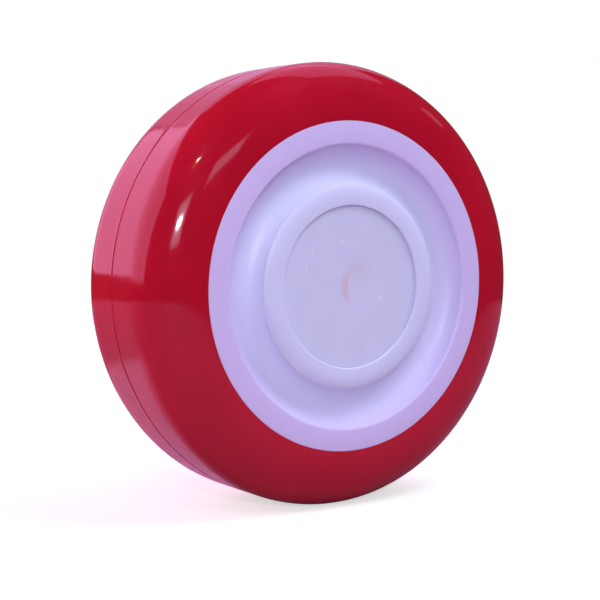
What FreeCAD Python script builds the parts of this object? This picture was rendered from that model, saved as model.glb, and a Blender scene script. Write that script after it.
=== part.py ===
import FreeCAD, Part
import os
from math import cos, pi, sin

# Caster wheel: a polyurethane tread moulded on a plastic core that turns on two ball bearings.
# Millimetres. The origin is the wheel's centre. +Y runs along the axle, out of the open side of
# the hub, and the hub cap is on the -Y side.

# Wheel
tread_radius = 50.0
half_width = 18.1
band_half_width = 8.3            # flat running band of the tread
shoulder_exponent = 2.14         # 2 would be an ellipse, more is fuller
shoulder_points = 14

# Core
core_radius = 36.6               # where core and tread meet on the face
key_neck_radius = 38.6           # undercut key round the rim that the tread is moulded over
key_radius = 41.0
key_neck_half_width = 4.0
key_half_width = 6.5
groove_outer_radius = 31.3
groove_inner_radius = 22.9
groove_depth = 3.9
groove_fullness = 0.7            # 0.5 would be an oval bottom, 1 a parabola
groove_points = 12
groove_lip_radius = 0.7          # rounded edge between rim face and groove
hub_edge_width = 3.0             # the hub's face rolls over into the groove
hub_edge_drop = 1.0
recess_radius = 18.0             # counterbore that takes the cap
recess_edge_radius = 0.35

# Bearings, deep groove, 15 x 35 x 11
bearing_bore_radius = 7.5
bearing_radius = 17.5
bearing_width = 11.0
bearing_half_gap = 2.0           # half the length of the sleeve between the bearings
shoulder_radius = 14.5           # the core's inner shoulder, between the outer rings
ball_radius = 2.9765
ball_count = 8
pitch_radius = 12.5
race_radius = 3.1                # the grooves are a little wider than the balls
race_clearance = 0.04
inner_land_radius = 10.6
outer_land_radius = 14.7
ring_chamfer = 0.6
bore_chamfer = 0.4
shield_seat_radius = 15.55
shield_seat_start = 4.3          # axial places are measured from the bearing's middle
shield_seat_end = 5.0
shield_lip_radius = 15.2

# Cage and shields
cage_inner_radius = 11.45
cage_outer_radius = 13.55
cage_thickness = 0.45
pocket_radius = 3.08
rivet_radius = 0.5
rivet_head_radius = 0.9
rivet_head_height = 0.3
shield_thickness = 0.35
shield_bead_radius = 15.5
shield_step_radius = 14.9
shield_dish_radius = 11.9
shield_inner_radius = 11.0
shield_step = 0.2

# Distance sleeve and cap
sleeve_radius = 9.8
cap_clearance = 0.05
cap_face = 17.5                  # distance of the cap's face from the wheel's middle
cap_thickness = 1.2
cap_skirt_thickness = 1.3
cap_skirt_end = 13.3
cap_edge_radius = 0.4
dimple_radius = 5.0
dimple_depth = 0.5

bearing_outer_end = bearing_half_gap + bearing_width
bearing_centre = bearing_half_gap + bearing_width / 2
bearing_half_width = bearing_width / 2
ball_step = 2 * pi / ball_count
diagonal = cos(pi / 4)

axle = FreeCAD.Vector(0, 1, 0)
across = FreeCAD.Vector(1, 0, 0)
origin = FreeCAD.Vector(0, 0, 0)


def point(radius, along):
    """A point of a turned outline: distance from the axle, and place along it."""
    return FreeCAD.Vector(radius, along, 0)


def line(start, end):
    return Part.LineSegment(point(*start), point(*end))


def arc(start, middle, end):
    return Part.Arc(point(*start), point(*middle), point(*end))


def turned(outline):
    """The solid that a closed outline sweeps round the axle."""
    wire = Part.Wire([piece.toShape() for piece in outline])
    return Part.Face(wire).revolve(origin, axle, 360)


def joined(corners):
    """Straight lines from each corner to the next."""
    return [line(start, end) for start, end in zip(corners, corners[1:])]


def polygon(corners):
    """The straight sides of a closed outline through the given corners."""
    return joined(corners + corners[:1])


def tube(inner_radius, outer_radius, low, high):
    """A round tube between two places along the axle."""
    corners = [(inner_radius, low), (outer_radius, low), (outer_radius, high), (inner_radius, high)]
    return turned(polygon(corners))


def fillet(centre, radius, start_turn, end_turn):
    """The start, middle and end of a rounded corner; its angles are in half turns."""
    turns = [start_turn, (start_turn + end_turn) / 2, end_turn]
    return [(centre[0] + radius * cos(t * pi), centre[1] + radius * sin(t * pi)) for t in turns]


def mirrored(points):
    """The same points on the other side of the middle, in the reverse order."""
    return [(radius, -along) for radius, along in reversed(points)]


def on_side(points, side):
    return [(radius, side * along) for radius, along in points]


def save(node, solids):
    shape = solids[0] if len(solids) == 1 else Part.makeCompound(solids)
    shape.exportStep("parts/" + node + ".step")


# Tread -------------------------------------------------------------------------------------------

def shoulder(side):
    """The curve from the band to the face, a quarter of a superellipse."""
    depth = tread_radius - core_radius
    width = half_width - band_half_width
    points = []
    for index in range(shoulder_points + 1):
        angle = index / shoulder_points * pi / 2
        along = abs(sin(angle)) ** (2 / shoulder_exponent)
        drop = abs(cos(angle)) ** (2 / shoulder_exponent)
        points.append(point(core_radius + depth * drop, side * (band_half_width + width * along)))
    points[-1] = point(core_radius, side * half_width)
    curve = Part.BSplineCurve()
    outward = FreeCAD.Vector(0, side, 0)
    inward = FreeCAD.Vector(-1, 0, 0)
    curve.interpolate(Points=points, InitialTangent=outward, FinalTangent=inward)
    return curve


def rim_key():
    """The outline that core and tread share, from the outboard face to the inboard face."""
    half = [
        (key_radius, key_half_width),
        (key_neck_radius, key_half_width),
        (key_neck_radius, key_neck_half_width),
        (core_radius, key_neck_half_width),
        (core_radius, half_width),
    ]
    return mirrored(half) + half


def tread():
    band = line((tread_radius, -band_half_width), (tread_radius, band_half_width))
    return turned(joined(rim_key()) + [shoulder(1), band, shoulder(-1)])


# Core --------------------------------------------------------------------------------------------

def spline(points, side, start_tangent, end_tangent):
    """A smooth curve through points given for the inboard face, placed on either face."""
    placed = [point(*place) for place in on_side(points, side)]
    curve = Part.BSplineCurve()
    curve.interpolate(
        Points=placed,
        InitialTangent=point(start_tangent[0], side * start_tangent[1]),
        FinalTangent=point(end_tangent[0], side * end_tangent[1]),
    )
    return curve


def groove_bottom(start, end):
    """Points across the groove, from its outer wall to its inner wall."""
    points = []
    for index in range(groove_points + 1):
        angle = index / groove_points * pi
        part = (1 - cos(angle)) / 2
        radius = start[0] + (end[0] - start[0]) * part
        wall_top = start[1] + (end[1] - start[1]) * part
        drop = wall_top - (half_width - groove_depth)
        points.append((radius, wall_top - drop * sin(angle) ** (2 * groove_fullness)))
    points[-1] = end
    return points


def hub_edge():
    """The quarter oval that the hub's face rolls over, from the groove up to the face."""
    centre = (groove_inner_radius - hub_edge_width, half_width - hub_edge_drop)
    return [
        (groove_inner_radius, centre[1]),
        (centre[0] + hub_edge_width * diagonal, centre[1] + hub_edge_drop * diagonal),
        (centre[0], half_width),
    ]


def core_face(side):
    """One face of the core, from the rim's outer corner in to the recess, and where it ends."""
    rim_lip = fillet((groove_outer_radius + groove_lip_radius, half_width - groove_lip_radius),
                     groove_lip_radius, 0.5, 1.0)
    edge = fillet((recess_radius + recess_edge_radius, half_width - recess_edge_radius),
                  recess_edge_radius, 0.5, 1.0)
    roll = hub_edge()
    rim_placed = on_side(rim_lip, side)
    edge_placed = on_side(edge, side)
    outline = [
        line((core_radius, side * half_width), rim_placed[0]),
        arc(*rim_placed),
        spline(groove_bottom(rim_lip[-1], roll[0]), side, (0, -1), (0, 1)),
        spline(roll, side, (0, 1), (-1, 0)),
        line((roll[-1][0], side * half_width), edge_placed[0]),
        arc(*edge_placed),
    ]
    return outline, edge_placed[-1]


def core():
    inboard, inboard_end = core_face(1)
    outboard, outboard_end = core_face(-1)
    seat = [
        (shoulder_radius, bearing_half_gap),
        (bearing_radius, bearing_half_gap),
        (bearing_radius, bearing_outer_end),
        (recess_radius, bearing_outer_end),
    ]
    inside = joined([inboard_end] + seat[::-1] + mirrored(seat)[::-1] + [outboard_end])
    return turned(joined(rim_key()) + inboard + inside + outboard)


# Hub cap -----------------------------------------------------------------------------------------

def hub_cap():
    """A shallow cup: a disc with a gate dimple in its face, and a skirt that fits the recess."""
    outer = recess_radius - cap_clearance
    inner = outer - cap_skirt_thickness
    back = cap_face - cap_thickness
    sphere_radius = (dimple_radius ** 2 + dimple_depth ** 2) / (2 * dimple_depth)
    half_way = dimple_radius / 2
    sag = sphere_radius - (sphere_radius ** 2 - half_way ** 2) ** 0.5
    edge = fillet((outer - cap_edge_radius, -cap_face + cap_edge_radius), cap_edge_radius, -0.5, 0.0)
    outline = [
        arc((0, -cap_face + dimple_depth), (half_way, -cap_face + dimple_depth - sag), (dimple_radius, -cap_face)),
        line((dimple_radius, -cap_face), edge[0]),
        arc(*edge),
        line(edge[-1], (outer, -cap_skirt_end)),
        line((outer, -cap_skirt_end), (inner, -cap_skirt_end)),
        line((inner, -cap_skirt_end), (inner, -back)),
        line((inner, -back), (0, -back)),
        line((0, -back), (0, -cap_face + dimple_depth)),
    ]
    return turned(outline)


# Bearings ----------------------------------------------------------------------------------------

def race_edge(land_radius, race_centre):
    """How far along the axle a race groove reaches at the land beside it."""
    return (race_radius ** 2 - (land_radius - race_centre) ** 2) ** 0.5


def outer_ring(middle):
    bottom = pitch_radius + ball_radius + race_clearance
    reach = race_edge(outer_land_radius, bottom - race_radius)
    half = [
        (outer_land_radius, reach),
        (outer_land_radius, shield_seat_start),
        (shield_seat_radius, shield_seat_start),
        (shield_seat_radius, shield_seat_end),
        (shield_lip_radius, shield_seat_end),
        (shield_lip_radius, bearing_half_width),
        (bearing_radius - ring_chamfer, bearing_half_width),
        (bearing_radius, bearing_half_width - ring_chamfer),
    ]
    corners = half + mirrored(half)
    race = arc((outer_land_radius, -reach), (bottom, 0), (outer_land_radius, reach))
    return moved(turned(joined(corners) + [race]), middle)


def inner_ring(middle):
    bottom = pitch_radius - ball_radius - race_clearance
    reach = race_edge(inner_land_radius, bottom + race_radius)
    half = [
        (inner_land_radius, reach),
        (inner_land_radius, bearing_half_width - bore_chamfer),
        (inner_land_radius - bore_chamfer, bearing_half_width),
        (bearing_bore_radius + bore_chamfer, bearing_half_width),
        (bearing_bore_radius, bearing_half_width - bore_chamfer),
    ]
    corners = half + mirrored(half)
    race = arc((inner_land_radius, -reach), (bottom, 0), (inner_land_radius, reach))
    return moved(turned(joined(corners) + [race]), middle)


def moved(shape, along):
    """The shape shifted along the axle."""
    placed = shape.copy()
    placed.translate(FreeCAD.Vector(0, along, 0))
    return placed


def round_the_pitch(offset):
    """Points round the pitch circle, one for each ball, turned by a part of the ball spacing."""
    angles = [(index + offset) * ball_step for index in range(ball_count)]
    return [FreeCAD.Vector(pitch_radius * cos(a), 0, pitch_radius * sin(a)) for a in angles]


def spheres(radius):
    return [Part.makeSphere(radius, centre) for centre in round_the_pitch(0)]


def balls(middle):
    return [moved(ball, middle) for ball in spheres(ball_radius)]


def rods(radius, low, high):
    """Short rods along the axle, half way between the balls."""
    bases = [centre + FreeCAD.Vector(0, low, 0) for centre in round_the_pitch(0.5)]
    return [Part.makeCylinder(radius, high - low, base, axle) for base in bases]


def cage_half(middle, side):
    """A pressed ribbon, flat between the balls and bulged round each; the two halves are alike."""
    space = tube(cage_inner_radius, cage_outer_radius, 0, pocket_radius + cage_thickness + 1)
    ribbon = tube(cage_inner_radius, cage_outer_radius, 0, cage_thickness)
    bulges = Part.makeCompound(spheres(pocket_radius + cage_thickness)).common(space)
    pockets = Part.makeCompound(spheres(pocket_radius))
    holes = Part.makeCompound(rods(rivet_radius, -1, 1))
    half = ribbon.fuse(bulges.Solids).cut(pockets).cut(holes).removeSplitter().Solids[0]
    if side < 0:
        half.rotate(origin, across, 180)
    return moved(half, middle)


def cage_rivets(middle):
    """Rivets between the balls: a shank and a head on each side of the cage."""
    head_start = cage_thickness
    head_end = cage_thickness + rivet_head_height
    shanks = rods(rivet_radius, -head_start, head_start)
    near_heads = rods(rivet_head_radius, head_start, head_end)
    far_heads = rods(rivet_head_radius, -head_end, -head_start)
    rivets = [a.fuse([b, c]).removeSplitter() for a, b, c in zip(shanks, near_heads, far_heads)]
    return [moved(rivet.Solids[0], middle) for rivet in rivets]


def shield(middle, side):
    """A pressed washer: a rolled bead in the outer ring's seat, a raised annulus, a lowered lip."""
    bead_low = shield_seat_start + 0.05
    bead_high = shield_seat_end - 0.05
    top = bead_high + shield_step
    under = top - shield_thickness
    corners = [
        (shield_inner_radius, under - shield_step),
        (shield_dish_radius, under - shield_step),
        (shield_dish_radius, under),
        (shield_step_radius, under),
        (shield_step_radius, bead_low),
        (shield_bead_radius, bead_low),
        (shield_bead_radius, bead_high),
        (shield_lip_radius - 0.05, bead_high),
        (shield_lip_radius - 0.05, top),
        (shield_dish_radius - shield_thickness, top),
        (shield_dish_radius - shield_thickness, top - shield_step),
        (shield_inner_radius, top - shield_step),
    ]
    return moved(turned(polygon(on_side(corners, side))), middle)


def save_bearing(name, middle):
    save(name + "_outer_ring", [outer_ring(middle)])
    save(name + "_inner_ring", [inner_ring(middle)])
    save(name + "_balls", balls(middle))
    save(name + "_cage_outer_half", [cage_half(middle, -1)])
    save(name + "_cage_inner_half", [cage_half(middle, 1)])
    save(name + "_cage_rivets", cage_rivets(middle))
    save(name + "_shield_front", [shield(middle, -1)])
    save(name + "_shield_rear", [shield(middle, 1)])


os.makedirs("parts", exist_ok=True)
save("tread", [tread()])
save("core", [core()])
save("hub_cap", [hub_cap()])
save("spacer_sleeve", [tube(bearing_bore_radius, sleeve_radius, -bearing_half_gap, bearing_half_gap)])
save_bearing("outboard", -bearing_centre)
save_bearing("inboard", bearing_centre)
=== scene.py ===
import math

import bpy
import numpy as np
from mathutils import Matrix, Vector


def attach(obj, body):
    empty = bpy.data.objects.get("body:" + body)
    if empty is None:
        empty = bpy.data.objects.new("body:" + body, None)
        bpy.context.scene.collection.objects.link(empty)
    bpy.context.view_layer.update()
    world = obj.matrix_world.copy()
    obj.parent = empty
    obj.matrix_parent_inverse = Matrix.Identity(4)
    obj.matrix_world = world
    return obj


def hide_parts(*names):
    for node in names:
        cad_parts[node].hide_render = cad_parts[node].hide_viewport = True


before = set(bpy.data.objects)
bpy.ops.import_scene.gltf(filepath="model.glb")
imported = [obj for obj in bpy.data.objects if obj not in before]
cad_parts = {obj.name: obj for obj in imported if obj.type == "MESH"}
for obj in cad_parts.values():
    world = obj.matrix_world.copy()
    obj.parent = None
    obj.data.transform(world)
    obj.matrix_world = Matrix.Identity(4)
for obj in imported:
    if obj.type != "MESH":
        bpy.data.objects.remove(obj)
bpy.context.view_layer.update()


# Tread -------------------------------------------------------------------------------------------
# The tyre: deep red polyurethane, cast round the rim of the core in a two-part mould. The mould's
# halves meet in the middle of the running band and leave a fine seam there. Its foot grips an
# undercut key round the core.

mm = 0.001
around = 396                 # points round every turned piece of the wheel
tread_radius = 50.0
half_width = 18.1
band_half_width = 8.3
core_radius = 36.6
shoulder_fullness = 2.14     # 2 is an ellipse
key_radius = 41.0
key_half_width = 6.5
key_neck_radius = 38.6
key_neck_half_width = 4.0
key_corner = 0.08
joint_radius = 0.16          # soft corner where tread and core meet on the face
seam_depth = 0.2
seam_width = 0.16
seam_lip = 0.035             # the raised edges on both sides of the seam
seam_lip_place = 0.352

key_outline = [(key_radius, key_half_width), (key_neck_radius, key_half_width),
               (key_neck_radius, key_neck_half_width), (core_radius, key_neck_half_width)]
angles = np.linspace(0, 2 * np.pi, around, endpoint=False)


def waves(turns, sizes, seed):
    """A closed ripple round the wheel: a sum of cosines, each with its own random phase."""
    phases = np.random.default_rng(seed).uniform(0, 2 * np.pi, len(turns))
    rows = [size * np.cos(n * angles + phase) for n, size, phase in zip(turns, sizes, phases)]
    return np.sum(rows, axis=0)


def on_arc(centre, radius, start, end, count=7):
    """Points of a circle about centre, from one angle to another, the angles in half turns."""
    turns = np.linspace(start, end, count) * np.pi
    return np.stack([centre[0] + radius * np.cos(turns), centre[1] + radius * np.sin(turns)], axis=1)


def rounded(corners, radius, closed=False, hold=0.1):
    """Straight runs with soft corners: each corner becomes a quadratic curve between two points at
    the given distance from it, and a held point beside each keeps the flats shading flat."""
    corners = np.array(corners, float)
    points = []
    neighbours = zip(np.roll(corners, 1, axis=0), corners, np.roll(corners, -1, axis=0))
    for before, corner, after in neighbours:
        ways = [before - corner, after - corner]
        lengths = [np.linalg.norm(way) for way in ways]
        reach = min(radius, 0.3 * min(lengths))
        still = [min(reach + hold, 0.45 * length) for length in lengths]
        u, v = ways[0] / lengths[0], ways[1] / lengths[1]
        t = np.linspace(0, 1, 4)[:, None]
        curve = corner + reach * ((1 - t) ** 2 * u + t ** 2 * v)
        points.append(np.concatenate([[corner + still[0] * u], curve, [corner + still[1] * v]]))
    if not closed:
        points[0], points[-1] = corners[:1], corners[-1:]
    return np.concatenate(points)


def clean(outline):
    """The outline without points that repeat the one before."""
    step = np.linalg.norm(outline - np.roll(outline, 1, axis=0), axis=1)
    return outline[step > 1e-6]


def set_mesh(name, points, quads, triangles=None):
    """A smooth-shaded object from arrays of points and faces. The volume that the faces enclose,
    the sum of a . (b x c) over their triangles, tells whether they need turning to face out."""
    flat = [quads[:, [0, 1, 2]], quads[:, [0, 2, 3]]] + ([] if triangles is None else [triangles])
    a, b, c = (points[np.concatenate(flat)[:, corner]] for corner in range(3))
    faces = quads.tolist() + ([] if triangles is None else triangles.tolist())
    if np.einsum("ij,ij->", a, np.cross(b, c)) < 0:
        faces = [face[::-1] for face in faces]
    mesh = bpy.data.meshes.new(name)
    mesh.from_pydata((points * mm).tolist(), [], faces)
    mesh.polygons.foreach_set("use_smooth", np.ones(len(faces), bool))
    mesh.update()
    made = bpy.data.objects.new(name, mesh)
    bpy.context.scene.collection.objects.link(made)
    return made


def turned_ring(name, radius, place, count=None):
    """A closed ring. Point (i, j) is outline point i turned to angle j round the axle:
    x = radius cos(angle), z = radius sin(angle), y = place. Both directions close on themselves."""
    turn = angles if count is None else np.linspace(0, 2 * np.pi, count, endpoint=False)
    radius, place = np.broadcast_arrays(radius + 0 * turn, place + 0 * turn)
    points = np.stack([radius * np.cos(turn), place, radius * np.sin(turn)], axis=-1)
    rows, columns = radius.shape
    i, j = np.meshgrid(np.arange(rows), np.arange(columns), indexing="ij")
    down, right = (i + 1) % rows, (j + 1) % columns
    corners = [i * columns + j, down * columns + j, down * columns + right, i * columns + right]
    quads = np.stack([corner.ravel() for corner in corners], axis=1)
    return set_mesh(name, points.reshape(-1, 3), quads)


def shoulder_curve(count):
    """A quarter of a superellipse from the band to the face: drop^n + along^n = 1."""
    turn = np.linspace(0, np.pi / 2, count)
    drop = np.abs(np.cos(turn)) ** (2 / shoulder_fullness)
    spread = np.abs(np.sin(turn)) ** (2 / shoulder_fullness)
    radius = core_radius + (tread_radius - core_radius) * drop
    return np.stack([radius, band_half_width + (half_width - band_half_width) * spread], axis=1)


def tread_outline():
    """Half of the tread from the seam to the face, then the mirrored half and the rim's key."""
    near_seam = [0, 0.05, 0.09, 0.13, 0.17, 0.22, 0.28, 0.36, 0.5, 0.8]
    band = np.concatenate([near_seam, np.linspace(1.4, band_half_width, 12)[:-1]])
    band = np.stack([np.full(len(band), tread_radius), band], axis=1)
    shoulder = shoulder_curve(56)
    shoulder = shoulder[shoulder[:, 0] > core_radius + joint_radius + 0.05]
    foot = on_arc((core_radius + joint_radius, half_width - joint_radius), joint_radius, 0.5, 1.0, 5)
    inner = [(core_radius, half_width - joint_radius), *key_outline[::-1], (key_radius, 0)]
    inner = rounded(inner, key_corner)
    half = clean(np.concatenate([band, shoulder, foot, inner[:-1]]))
    return np.concatenate([half, (half * [1, -1])[:0:-1]])


outline = tread_outline()
radius = outline[:, :1] + np.zeros(around)
place = outline[:, 1:]
seam_line = place - 0.02 * waves([3, 7, 19], [1.0, 0.6, 0.3], seed=3)
groove_size = seam_depth + waves([2, 5, 23], [0.02, 0.02, 0.01], seed=4)
groove = groove_size * np.exp(-(seam_line / seam_width) ** 2)
lip_size = seam_lip + waves([4, 11, 31], [0.012, 0.01, 0.006], seed=5)
lips = lip_size * np.exp(-((np.abs(seam_line) - seam_lip_place) / seam_width) ** 2)
on_band = radius > tread_radius - 0.01
radius = radius + np.where(on_band, lips - groove, 0)
tread = turned_ring("tread_tyre", radius, place)
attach(tread, "wheel")
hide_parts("tread")


def new_material(name, **settings):
    """A material with one Principled shader; returns it, its node tree and the shader."""
    material = bpy.data.materials.new(name)
    material.use_nodes = True
    tree = material.node_tree
    shader = tree.nodes["Principled BSDF"]
    for label, value in settings.items():
        shader.inputs[label.replace("_", " ")].default_value = value
    return material, tree, shader


def feed(tree, socket, value):
    """Gives a socket its value: another node's output is linked, anything else is set."""
    if isinstance(value, bpy.types.NodeSocket):
        tree.links.new(value, socket)
    else:
        socket.default_value = value


def node(tree, kind, **inputs):
    """A shader node with its inputs fed by name."""
    made = tree.nodes.new("ShaderNode" + kind)
    for label, value in inputs.items():
        feed(tree, made.inputs[label.replace("_", " ")], value)
    return made


def object_position(tree):
    return node(tree, "TexCoord").outputs["Object"]


def grain(tree, scale, detail=3.0, roughness=0.5, vector=None):
    """Soft noise between 0 and 1, with that many blobs to a metre."""
    place = vector or object_position(tree)
    made = node(tree, "TexNoise", Vector=place, Scale=scale, Detail=detail, Roughness=roughness)
    return made.outputs["Fac"]


def between(tree, value, low, high, out_low, out_high):
    """The value's stretch from low to high mapped to another stretch, and held at its ends."""
    names = {"From_Min": low, "From_Max": high, "To_Min": out_low, "To_Max": out_high}
    return node(tree, "MapRange", Value=value, **names).outputs["Result"]


def blend_colour(tree, amount, first, second):
    mix = tree.nodes.new("ShaderNodeMix")
    mix.data_type = "RGBA"
    for index, value in ((0, amount), (6, first), (7, second)):
        feed(tree, mix.inputs[index], value)
    return mix.outputs[2]


def bump(tree, height, strength, distance):
    return node(tree, "Bump", Height=height, Strength=strength, Distance=distance).outputs["Normal"]


def maths(tree, operation, first, second=0.0):
    made = tree.nodes.new("ShaderNodeMath")
    made.operation = operation
    feed(tree, made.inputs[0], first)
    feed(tree, made.inputs[1], second)
    return made.outputs["Value"]


def spot(tree, across, up, wide, high, core_size):
    """1 inside an ellipse of those half-widths, from the core size out falling to 0 at its rim."""
    squares = [maths(tree, "POWER", maths(tree, "DIVIDE", value, size), 2.0)
               for value, size in ((across, wide), (up, high))]
    reach = maths(tree, "SQRT", maths(tree, "ADD", *squares))
    return between(tree, reach, core_size, 1.0, 1.0, 0.0)


def cast_urethane():
    """Deep crimson, glossy and a little translucent, clouded by flow, with faint handling smears."""
    material, tree, shader = new_material(
        "cast_urethane", IOR=1.5, Subsurface_Weight=0.1, Subsurface_Scale=0.0025,
        Subsurface_Radius=(1.0, 0.12, 0.08))
    clouds = between(tree, grain(tree, 45, 4), 0.35, 0.7, 0, 1)
    colour = blend_colour(tree, clouds, (0.46, 0.0045, 0.020, 1), (0.52, 0.006, 0.025, 1))
    tree.links.new(colour, shader.inputs["Base Color"])
    smears = between(tree, grain(tree, 130, 6, 0.65), 0.45, 0.75, 0.08, 0.16)
    tree.links.new(smears, shader.inputs["Roughness"])
    peel = bump(tree, grain(tree, 220, 2), 0.08, 0.0003)
    tree.links.new(peel, shader.inputs["Normal"])
    return material


tread.data.materials.append(cast_urethane())


# Core --------------------------------------------------------------------------------------------
# One white plastic moulding: rim, a smooth ring groove on both sides, hub ring and bearing seats.
# The tread is cast on to its rim, the bearings are pressed into the hub from both sides.

groove_outer = 31.3
groove_inner = 22.9
groove_depth = 3.9
groove_fullness = 0.7        # 0.5 is an oval bottom, 1 a parabola
rim_lip = 0.7
hub_roll_width = 3.0         # the hub's face rolls over into the groove
hub_roll_drop = 1.0
recess_radius = 18.0
recess_edge = 0.35
seat_radius = 17.5
seat_end = 13.0
shoulder_radius = 14.5
shoulder_half = 2.0


def groove_bottom():
    """Across the groove, part = (1 - cos t) / 2 and depth below its walls' tops = drop sin(t)^2f."""
    turn = np.linspace(0, np.pi, 41)
    part = (1 - np.cos(turn)) / 2
    wall_top = half_width - rim_lip + (rim_lip - hub_roll_drop) * part
    drop = wall_top - (half_width - groove_depth)
    place = wall_top - drop * np.abs(np.sin(turn)) ** (2 * groove_fullness)
    return np.stack([groove_outer + (groove_inner - groove_outer) * part, place], axis=1)


def core_outline():
    """Half of the core's section: key, rim face, groove, hub face, recess and bearing seat."""
    rim = [(key_radius, 0), *key_outline, (core_radius, half_width - joint_radius)]
    rim = rounded(rim, key_corner)
    corner = on_arc((core_radius - joint_radius, half_width - joint_radius), joint_radius, 0.0, 0.5, 5)
    lip = on_arc((groove_outer + rim_lip, half_width - rim_lip), rim_lip, 0.5, 1.0, 9)
    turn = np.linspace(0, np.pi / 2, 17)
    roll = np.stack([groove_inner - hub_roll_width * (1 - np.cos(turn)),
                     half_width - hub_roll_drop * (1 - np.sin(turn))], axis=1)
    edge = on_arc((recess_radius + recess_edge, half_width - recess_edge), recess_edge, 0.5, 1.0, 7)
    seats = rounded([(recess_radius, half_width - recess_edge), (recess_radius, seat_end),
                     (seat_radius, seat_end), (seat_radius, shoulder_half),
                     (shoulder_radius, shoulder_half), (shoulder_radius, 0)], 0.12)
    half = clean(np.concatenate([rim[1:], corner, lip, groove_bottom(), roll, edge, seats]))
    return np.concatenate([half, (half * [1, -1])[-2::-1]])


outline = clean(core_outline())
core = turned_ring("core_moulding", outline[:, :1], outline[:, 1:])
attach(core, "wheel")
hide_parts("core")


def moulded_white():
    """White plastic with a cool cast that lets light a little way in: satin, clouded by flow, with a
    painted pink glow beside the tread for the red light that the tread shines through the rim."""
    material, tree, shader = new_material(
        "moulded_white", IOR=1.49, Subsurface_Weight=0.2, Subsurface_Scale=0.0015,
        Subsurface_Radius=(1.0, 0.8, 0.9))
    place = node(tree, "SeparateXYZ", Vector=object_position(tree)).outputs
    away = maths(tree, "SQRT", maths(tree, "ADD", maths(tree, "POWER", place["X"], 2.0),
                                     maths(tree, "POWER", place["Z"], 2.0)))
    # Painted pink glow towards the rim, standing in for red light from the tread shining through it.
    painted_red_bleed = between(tree, away, 26.5 * mm, 32.5 * mm, 0, 1)
    clouds = between(tree, grain(tree, 70, 4), 0.3, 0.7, 0, 1)
    colour = blend_colour(tree, clouds, (0.70, 0.785, 0.98, 1), (0.73, 0.815, 1.0, 1))
    colour = blend_colour(tree, painted_red_bleed, colour, (0.695, 0.645, 0.93, 1))
    tree.links.new(colour, shader.inputs["Base Color"])
    satin = between(tree, grain(tree, 240, 2), 0.3, 0.7, 0.36, 0.44)
    tree.links.new(satin, shader.inputs["Roughness"])
    tree.links.new(bump(tree, grain(tree, 150, 2), 0.1, 0.0003), shader.inputs["Normal"])
    return material


core.data.materials.append(moulded_white())


# Hub cap -----------------------------------------------------------------------------------------
# A shallow milky cup pushed into the recess over the outboard bearing. The gate it was filled
# through left a shallow dent near the middle of its face, with painted amber shade on its left wall.

cap_radius = 17.985
cap_face = 17.5
cap_thickness = 1.2
cap_skirt = 1.3
cap_skirt_end = 13.3
cap_edge = 0.15
dent_centre = (5.1, 1.0)     # across and up from the middle of the cap
dent_radius = 7.4
dent_depth = 0.3
dent_fade = 3.0              # where, and over what width, it fades to the right
dent_fade_width = 1.6
# Painted shade on the cap's face: an amber crescent round the dent's left edge and a grey cloud
# trailing off it.
painted_crescent_place = -1.7
painted_crescent_wide = 1.35         # this and the next sizes are half-widths
painted_crescent_high = 4.4
painted_cloud_place = (2.2, 4.0)
painted_cloud_wide = 4.6
painted_cloud_high = 4.4
nick_depth = 0.12
nicks = [(-11.9, 4.6, 0.30, 0.8), (-10.2, 7.8, 0.35, 0.9),      # across, up, half-widths
         (8.1, -2.7, 0.45, 0.6), (-2.6, 10.2, 1.0, 0.3)]


def spun(name, outline, centres=((0, 0),), count=around, sink=None):
    """Closed solids of revolution. Outline point i is turned to angle j about a line along Y
    through each centre: x = cx + radius cos(angle), z = cz + radius sin(angle), y = place + sink.
    The first and last outline points lie on the line, where a fan of triangles closes the end."""
    turn = np.linspace(0, 2 * np.pi, count, endpoint=False)
    radius = outline[1:-1, :1]
    x, z = radius * np.cos(turn), radius * np.sin(turn)
    y = outline[1:-1, 1:] + 0 * turn
    ends = np.array([[0, outline[0, 1], 0], [0, outline[-1, 1], 0]])
    single = np.concatenate([np.stack([x, y, z], axis=-1).reshape(-1, 3), ends])
    if sink is not None:
        single[:, 1] += sink(single[:, 0], single[:, 2], single[:, 1])
    rows = len(radius)
    i, j = np.meshgrid(np.arange(rows - 1), np.arange(count), indexing="ij")
    right = (j + 1) % count
    corners = [i * count + j, (i + 1) * count + j, (i + 1) * count + right, i * count + right]
    quads = np.stack([corner.ravel() for corner in corners], axis=1)
    first = np.arange(count)
    following = (first + 1) % count
    last = (rows - 1) * count
    centre = np.full(count, rows * count)
    fans = [np.stack([centre, first, following], axis=1),
            np.stack([centre + 1, last + following, last + first], axis=1)]
    fans = np.concatenate(fans)
    places = np.array([(cx, 0, cz) for cx, cz in centres])
    starts = (np.arange(len(places)) * len(single))[:, None, None]
    points = (single + places[:, None]).reshape(-1, 3)
    return set_mesh(name, points, (quads + starts).reshape(-1, 4), (fans + starts).reshape(-1, 3))


def cap_dent(x, z, place):
    """How far the face is pushed in: the gate's dent, deep at its left edge and fading to the
    right, and a few small nicks, each a bell of its own half-widths across and up."""
    out = np.hypot(x - dent_centre[0], z - dent_centre[1]) / dent_radius
    bowl = np.clip(1 - out ** 2, 0, 1) ** 1.5
    fade = 1 / (1 + np.exp((x - dent_fade) / dent_fade_width))
    depth = dent_depth * bowl * (0.35 + 0.65 * fade)
    for nick_x, nick_z, wide, high in nicks:
        depth += nick_depth * np.exp(-((x - nick_x) / wide) ** 2 - ((z - nick_z) / high) ** 2)
    return np.where(place < -cap_face + 0.01, depth, 0)


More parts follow.
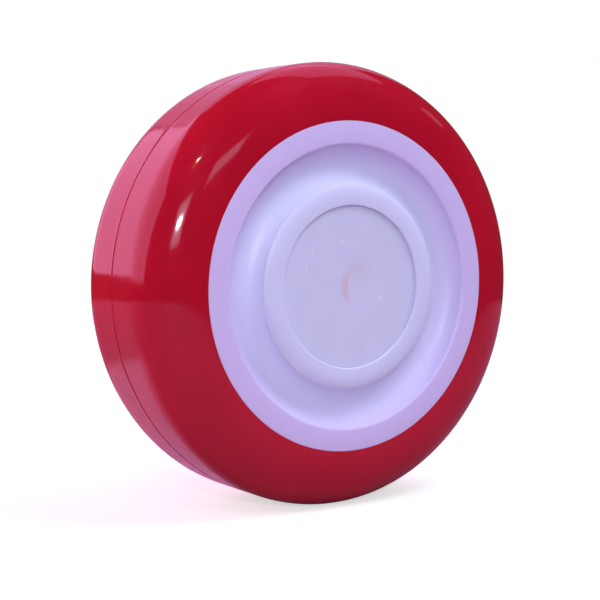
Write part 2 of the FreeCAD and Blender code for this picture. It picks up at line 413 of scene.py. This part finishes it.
def cap_outline():
    """The cap's section from the middle of its face to the middle of its back."""
    face = np.stack([np.linspace(0, cap_radius - cap_edge, 60), np.full(60, -cap_face)], axis=1)
    edge = on_arc((cap_radius - cap_edge, -cap_face + cap_edge), cap_edge, -0.5, 0.0, 7)
    inner = cap_radius - cap_skirt
    back = -cap_face + cap_thickness
    wall = rounded([(cap_radius, -cap_face + cap_edge), (cap_radius, -cap_skirt_end),
                    (inner, -cap_skirt_end), (inner, back), (0, back)], 0.15)
    return clean(np.concatenate([face, edge, wall]))


cap = spun("hub_cap_cup", cap_outline(), sink=cap_dent)
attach(cap, "cap")
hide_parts("hub_cap")


def milky_plastic():
    """Milky natural plastic, greyer than the core. A painted amber crescent of shade bends round
    the dent's left edge, a grey cloud of painted shade trails off it, and the nicks carry
    painted white glints."""
    material, tree, shader = new_material(
        "milky_plastic", IOR=1.49, Subsurface_Weight=0.4, Subsurface_Scale=0.003,
        Subsurface_Radius=(1.0, 0.85, 0.8))
    place = node(tree, "SeparateXYZ", Vector=object_position(tree)).outputs
    # Painted amber shade: a crescent bent round the dent's left edge.
    bend = maths(tree, "MULTIPLY", maths(tree, "POWER", place["Z"], 2.0), -1 / (2 * dent_radius * mm))
    side = maths(tree, "ADD", maths(tree, "SUBTRACT", place["X"], painted_crescent_place * mm), bend)
    painted_crescent_shade = spot(tree, side, place["Z"], painted_crescent_wide * mm, painted_crescent_high * mm, 0.35)
    # Painted grey shade: a cloud trailing off the dent towards the upper right.
    across = maths(tree, "SUBTRACT", place["X"], painted_cloud_place[0] * mm)
    up = maths(tree, "SUBTRACT", place["Z"], painted_cloud_place[1] * mm)
    painted_cloud_shade = spot(tree, across, up, painted_cloud_wide * mm, painted_cloud_high * mm, 0.0)
    flow = between(tree, grain(tree, 160, 4), 0.3, 0.7, 0, 1)
    body = blend_colour(tree, flow, (0.690, 0.780, 0.98, 1), (0.715, 0.805, 1.0, 1))
    body = blend_colour(tree, maths(tree, "MULTIPLY", painted_cloud_shade, 0.6), body, (0.68, 0.70, 0.78, 1))
    body = blend_colour(tree, maths(tree, "MULTIPLY", painted_crescent_shade, 0.85), body, (0.75, 0.63, 0.60, 1))
    # Painted white glints on the nicks.
    for nick_x, nick_z, wide, high in nicks:
        across = maths(tree, "SUBTRACT", place["X"], nick_x * mm)
        up = maths(tree, "SUBTRACT", place["Z"], nick_z * mm)
        painted_glint = spot(tree, across, up, 1.2 * wide * mm, 1.2 * high * mm, 0.3)
        body = blend_colour(tree, maths(tree, "MULTIPLY", painted_glint, 0.8), body, (0.84, 0.92, 1.0, 1))
    tree.links.new(body, shader.inputs["Base Color"])
    gloss = between(tree, grain(tree, 240, 2), 0.3, 0.7, 0.28, 0.34)
    tree.links.new(gloss, shader.inputs["Roughness"])
    tree.links.new(bump(tree, grain(tree, 110, 1), 0.1, 0.0002), shader.inputs["Normal"])
    return material


cap.data.materials.append(milky_plastic())


# Bearings ----------------------------------------------------------------------------------------
# Two shielded deep-groove ball bearings, 15 x 35 x 11. Rings and balls are ground bearing steel,
# the cage halves and shields are pressed sheet. The outer rings are pressed into the core.

ring_count = 240
bearing_radius = 17.5
bore_radius = 7.5
bearing_half = 5.5
bearing_middle = 7.5         # from the wheel's middle; below, places are from the bearing's own
ring_chamfer = 0.6
bore_chamfer = 0.4
pitch_radius = 12.5
ball_radius = 2.9765
ball_count = 8
race_radius = 3.1
race_gap = 0.04
inner_land = 10.6
inner_race_edge = 2.45       # a land ends just outside its race
outer_land = 14.7
outer_race_edge = 2.15
shield_lip = 15.2
shield_seat_radius = 15.55
shield_seat_start = 4.3
shield_seat_end = 5.0
shield_sheet = 0.35
shield_inner = 11.0
shield_dish = 11.9
shield_step = 14.9
shield_bead = 15.5
shield_low = 4.6             # the backs of its lip, annulus and bead
shield_high = 4.8
shield_bead_low = 4.35
cage_inner = 11.45
cage_sheet = 0.45
cage_gap = 0.01              # from the plane where the two halves meet
cage_count = 960
pocket_radius = 3.08
shank_radius = 0.5
head_radius = 0.9
head_height = 0.3


def ground_steel(name, colour, roughness, marks, wear=0.3):
    """Steel that was turned, ground or pressed: fine rings round the axle in its gloss and its
    surface, and clouded handling marks over them."""
    material, tree, shader = new_material(name, Metallic=1.0)
    place = node(tree, "SeparateXYZ", Vector=object_position(tree)).outputs
    flat = node(tree, "CombineXYZ", X=place["X"], Y=place["Z"]).outputs["Vector"]
    length = tree.nodes.new("ShaderNodeVectorMath")
    length.operation = "LENGTH"
    tree.links.new(flat, length.inputs[0])
    rings = node(tree, "CombineXYZ", X=length.outputs["Value"], Y=place["Y"]).outputs["Vector"]
    lines = grain(tree, marks, 4, 0.6, rings)
    clouds = grain(tree, 220, 5, 0.6)
    dark = tuple(0.82 * part for part in colour[:3]) + (1,)
    shade = blend_colour(tree, between(tree, lines, 0.3, 0.75, 0, 1), colour, dark)
    shade = blend_colour(tree, between(tree, clouds, 0.5, 0.8, 0, wear), shade, (0.46, 0.45, 0.44, 1))
    tree.links.new(shade, shader.inputs["Base Color"])
    gloss = between(tree, clouds, 0.3, 0.7, roughness * 0.8, roughness * 1.4)
    tree.links.new(gloss, shader.inputs["Roughness"])
    tree.links.new(bump(tree, lines, 0.12, 0.00005), shader.inputs["Normal"])
    return material


steels = {
    "ring_steel": ground_steel("ground_steel", (0.76, 0.78, 0.78, 1), 0.2, 9000),
    "ball_steel": ground_steel("polished_steel", (0.78, 0.78, 0.80, 1), 0.07, 3000, wear=0.1),
    "cage_steel": ground_steel("pressed_steel", (0.55, 0.54, 0.52, 1), 0.34, 1500),
    "rivet_steel": ground_steel("headed_steel", (0.55, 0.54, 0.52, 1), 0.3, 4000),
    "shield_steel": ground_steel("shield_sheet", (0.74, 0.77, 0.76, 1), 0.28, 5000),
    "sleeve_steel": ground_steel("zinc_plate", (0.68, 0.70, 0.71, 1), 0.3, 7000),
}


def fitted(made, body, carried, slot):
    """Hands a finished piece to the frame in place of its plain solid, and gives it its steel."""
    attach(made, body)
    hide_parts(carried)
    made.data.materials.append(steels[slot])


def race(land, centre, start, end):
    """The arc of a race groove between its two edges, start and end being -1 or 1."""
    edge = math.asin(math.sqrt(race_radius ** 2 - (land - centre) ** 2) / race_radius)
    turn = np.linspace(start, end, 33)[1:-1] * edge
    away = math.copysign(1, land - centre)
    return np.stack([centre + away * race_radius * np.cos(turn), race_radius * np.sin(turn)], axis=1)


def outer_section():
    """The outer ring's section: outside, faces, the shields' seats, lands and the race."""
    half = [(bearing_radius, 0), (bearing_radius, bearing_half - ring_chamfer),
            (bearing_radius - ring_chamfer, bearing_half), (shield_lip, bearing_half),
            (shield_lip, shield_seat_end), (shield_seat_radius, shield_seat_end),
            (shield_seat_radius, shield_seat_start), (outer_land, shield_seat_start),
            (outer_land, outer_race_edge)]
    chain = rounded(half, 0.1)
    groove = race(outer_land, pitch_radius + ball_radius + race_gap - race_radius, 1, -1)
    return np.concatenate([chain, groove, (chain * [1, -1])[:0:-1]])


def inner_section():
    """The inner ring's section: bore, faces, lands and the race."""
    half = [(bore_radius, 0), (bore_radius, bearing_half - bore_chamfer),
            (bore_radius + bore_chamfer, bearing_half), (inner_land - bore_chamfer, bearing_half),
            (inner_land, bearing_half - bore_chamfer), (inner_land, inner_race_edge)]
    chain = rounded(half, 0.1)
    groove = race(inner_land, pitch_radius - ball_radius - race_gap + race_radius, 1, -1)
    return np.concatenate([chain, groove, (chain * [1, -1])[:0:-1]])


def shield_section(side):
    """A pressed washer: bead in the outer ring's seat, raised annulus, lowered lip at the bore."""
    low_front, high_front = shield_low + shield_sheet, shield_high + shield_sheet
    corners = [(shield_inner, shield_low), (shield_dish, shield_low), (shield_dish, shield_high),
               (shield_step, shield_high), (shield_step, shield_bead_low),
               (shield_bead, shield_bead_low), (shield_bead, low_front),
               (shield_bead - shield_sheet, low_front), (shield_bead - shield_sheet, high_front),
               (shield_dish - shield_sheet, high_front), (shield_dish - shield_sheet, low_front),
               (shield_inner, low_front)]
    return rounded(np.array(corners) * [1, side], 0.09, closed=True, hold=0.05)


def over_ball(radius, turn, reach):
    """Height of a sphere of that reach round the nearest ball's middle, 0 where it doesn't come:
    sqrt(reach^2 - d^2), with d the distance from that middle in the plane of the ball circle."""
    step = 2 * np.pi / ball_count
    nearest = (turn + step / 2) % step - step / 2
    away = radius ** 2 + pitch_radius ** 2 - 2 * radius * pitch_radius * np.cos(nearest)
    return np.sqrt(np.clip(reach ** 2 - away, 0, None))


def cage_half(name, middle, side):
    """A ribbon of sheet round the axle, lifted over every ball: the inside clears the ball by the
    pocket's size and the outside stands one sheet higher. Between the balls it lies flat."""
    across = cage_inner + np.array([0, 0.05, 0.15, 0.45, 0.75, 1.05, 1.35, 1.65, 1.95, 2.05, 2.1])
    turn = np.linspace(0, 2 * np.pi, cage_count, endpoint=False)
    outside = np.maximum(over_ball(across[:, None], turn, pocket_radius + cage_sheet), cage_sheet)
    inside = np.maximum(over_ball(across[:, None], turn, pocket_radius), cage_gap)
    radius = np.concatenate([across, across[::-1]])[:, None]
    place = middle + side * np.concatenate([outside, inside[::-1]])
    return turned_ring(name, radius, place, cage_count)


def round_pitch(offset):
    """Places evenly round the ball circle, turned on by that part of a step."""
    turn = (np.arange(ball_count) + offset) * 2 * np.pi / ball_count
    return list(zip(pitch_radius * np.cos(turn), pitch_radius * np.sin(turn)))


def rivet_outline(middle):
    """Half a rivet's section: a domed head, the shank through both sheets, the other head."""
    top = cage_sheet + head_height
    dome = [(0, top), (0.35, top - 0.02), (0.62, top - 0.08), (0.82, top - 0.18)]
    head = [(head_radius, cage_sheet + 0.06), (head_radius, cage_sheet)]
    shank = [(shank_radius, cage_sheet), (shank_radius, 0.02)]
    half = np.array(dome + head + shank)
    return np.concatenate([half, (half * [1, -1])[::-1]]) + [0, middle]


turn = np.linspace(0.5, -0.5, 49) * np.pi
ball_outline = ball_radius * np.stack([np.cos(turn), np.sin(turn)], axis=1)
for name, middle in (("outboard", -bearing_middle), ("inboard", bearing_middle)):
    cage = name + "_cage"
    for piece, section, body in (("_outer_ring", outer_section(), "wheel"),
                                 ("_inner_ring", inner_section(), "axle_sleeve")):
        section = section + [0, middle]
        made = turned_ring(name + piece + "_turned", section[:, :1], section[:, 1:], ring_count)
        fitted(made, body, name + piece, "ring_steel")
    for piece, side in (("_shield_front", -1), ("_shield_rear", 1)):
        section = shield_section(side) + [0, middle]
        made = turned_ring(name + piece + "_pressed", section[:, :1], section[:, 1:], ring_count)
        fitted(made, "wheel", name + piece, "shield_steel")
    for piece, side in (("_outer_half", -1), ("_inner_half", 1)):
        made = cage_half(cage + piece + "_pressed", middle, side)
        fitted(made, cage, cage + piece, "cage_steel")
    balls = spun(name + "_balls_ground", ball_outline + [0, middle], round_pitch(0), 96)
    fitted(balls, cage, name + "_balls", "ball_steel")
    rivets = spun(cage + "_rivets_headed", rivet_outline(middle), round_pitch(0.5), 32)
    fitted(rivets, cage, cage + "_rivets", "rivet_steel")


# Distance sleeve ---------------------------------------------------------------------------------
# A short zinc-plated tube that keeps the two inner rings apart and carries the axle between them.

sleeve_radius = 9.8
sleeve_half = bearing_middle - bearing_half
sleeve_corner = 0.12

section = [(bore_radius, -sleeve_half), (sleeve_radius, -sleeve_half),
           (sleeve_radius, sleeve_half), (bore_radius, sleeve_half)]
section = rounded(section, sleeve_corner, closed=True)
sleeve = turned_ring("spacer_sleeve_cut", section[:, :1], section[:, 1:], ring_count)
fitted(sleeve, "axle_sleeve", "spacer_sleeve", "sleeve_steel")


# Floor, light and camera -------------------------------------------------------------------------
# A plain pale floor that bounces a little pink, a white surround, a wide pink window behind on the
# left with strips beside it, small lamps in front, broad matt lamps for fill, and the camera.

floor_radius = 460.0
floor_rings = 24

spoke_angles = angles[::4]
spokes = len(spoke_angles)
reach = np.linspace(0, floor_radius, floor_rings)[1:, None]
x, y = reach * np.cos(spoke_angles), reach * np.sin(spoke_angles)
floor_points = np.stack([x.ravel(), y.ravel(), np.full(x.size, -tread_radius)], axis=1)
floor_points = np.concatenate([floor_points, [[0, 0, -tread_radius]]])
i, j = np.meshgrid(np.arange(floor_rings - 2), np.arange(spokes), indexing="ij")
right = (j + 1) % spokes
corners = [i * spokes + j, i * spokes + right, (i + 1) * spokes + right, (i + 1) * spokes + j]
floor_quads = np.stack([corner.ravel() for corner in corners], axis=1)
first = np.arange(spokes)
floor_fan = np.stack([np.full(spokes, x.size), (first + 1) % spokes, first], axis=1)
floor = set_mesh("floor", floor_points, floor_quads, floor_fan)
floor.data.flip_normals()    # it encloses nothing, and its top is the side that shows

# The floor looks pale but sends pink light up, most of it from a painted pool of light beside the wheel
# under the window.
floor_paint, tree, shader = new_material("floor_paint", Roughness=0.8)
seen = node(tree, "LightPath").outputs["Is Camera Ray"]
place = node(tree, "SeparateXYZ", Vector=object_position(tree)).outputs
across = maths(tree, "ADD", place["X"], 30 * mm)
back = maths(tree, "SUBTRACT", place["Y"], 50 * mm)
# Painted pool of window light on the floor, seen only in bounce and reflection.
painted_window_pool = spot(tree, across, back, 90 * mm, 55 * mm, 0.7)
bounce_with_painted_pool = blend_colour(tree, painted_window_pool, (0.40, 0.24, 0.31, 1), (0.85, 0.65, 0.80, 1))
paint = blend_colour(tree, seen, bounce_with_painted_pool, (0.62, 0.70, 0.60, 1))
tree.links.new(paint, shader.inputs["Base Color"])
shader.inputs["Emission Color"].default_value = (1, 1, 1, 1)
tree.links.new(maths(tree, "MULTIPLY", seen, 0.6), shader.inputs["Emission Strength"])
floor.data.materials.append(floor_paint)

world = bpy.data.worlds.new("surround")
bpy.context.scene.world = world
world.use_nodes = True
tree = world.node_tree
path = node(tree, "LightPath").outputs["Is Camera Ray"]
surround = tree.nodes["Background"]
surround.inputs["Color"].default_value = (1, 1, 1, 1)
tree.links.new(between(tree, path, 0, 1, 0.04, 1.0), surround.inputs["Strength"])


def direction(azimuth, elevation):
    """The direction to a place round the wheel, in degrees; azimuth 0 is in front, at -Y."""
    a, e = math.radians(azimuth), math.radians(elevation)
    return np.array([math.sin(a) * math.cos(e), -math.cos(a) * math.cos(e), math.sin(e)])


def aim(made, azimuth, elevation, distance):
    """Puts a lamp at that direction and distance from the wheel's centre, facing the centre."""
    away = Vector(direction(azimuth, elevation))
    made.location = away * distance
    made.rotation_euler = away.to_track_quat("Z", "Y").to_euler()


def soft_box(name, azimuth, elevation, width, height, power, colour, distance=1.0, glossy=True):
    """An area lamp facing the wheel. The camera never sees it, and gloss mirrors it unless told not."""
    light = bpy.data.lights.new(name, "AREA")
    light.shape = "RECTANGLE"
    light.size = width
    light.size_y = height
    light.energy = power
    light.color = colour
    made = bpy.data.objects.new(name, light)
    made.visible_camera = False
    made.visible_glossy = glossy
    bpy.context.scene.collection.objects.link(made)
    aim(made, azimuth, elevation, distance)


violet_white = (0.80, 0.76, 1.0)
pink_white = (1.0, 0.54, 1.0)
lamp_amber = (1.0, 0.62, 0.42)
fill_pink = (1.0, 0.55, 0.80)
soft_box("window", -131, 24, 1.85, 0.87, 8.4, pink_white)
soft_box("back_strip", 152, 38, 0.85, 0.55, 0.95, pink_white)
soft_box("back_top", 115, 62, 0.8, 0.5, 1.2, pink_white)
soft_box("horizon", 166, 12, 0.7, 0.4, 0.6, pink_white)
soft_box("lamp", -27, 17, 0.10, 0.035, 3.6, violet_white)
soft_box("lamp_shade", -27, 17, 0.26, 0.26, 0.5, violet_white, distance=1.02)
soft_box("warm_lamp", -35, 43, 0.028, 0.012, 0.3, lamp_amber)
soft_box("far_strip", 3, 24, 0.26, 0.12, 0.2, violet_white)
soft_box("side_lamp", 82, 29, 0.14, 0.10, 0.03, violet_white)
soft_box("over_left", -35, 45, 0.4, 0.4, 1.6, violet_white, glossy=False)
soft_box("overhead", 46, 63, 0.5, 0.5, 4.3, violet_white, glossy=False)
soft_box("rake", 62, 42, 0.4, 0.4, 2.5, violet_white, glossy=False)
soft_box("low_left", -130, 16, 0.4, 0.2, 2.6, fill_pink, glossy=False)

camera_azimuth = -33.40
camera_elevation = 4.11
camera_reach = 6.492         # these three in tread radii
camera_left = 0.0343
camera_below = 0.0791
camera_data = bpy.data.cameras.new("camera")
camera_data.sensor_width = 36.0
camera_data.lens = 83.95
camera_data.clip_start = 0.01
camera = bpy.data.objects.new("camera", camera_data)
bpy.context.scene.collection.objects.link(camera)
turned = math.radians(camera_azimuth)
view_back = direction(camera_azimuth, camera_elevation)
view_right = np.array([math.cos(turned), math.sin(turned), 0.0])
view_up = np.cross(view_back, view_right)
place = camera_reach * view_back - camera_left * view_right - camera_below * view_up
camera.location = place * tread_radius * mm
camera.rotation_euler = (math.radians(90 - camera_elevation), 0, turned)
bpy.context.scene.camera = camera
bpy.context.scene.view_settings.view_transform = "Standard"
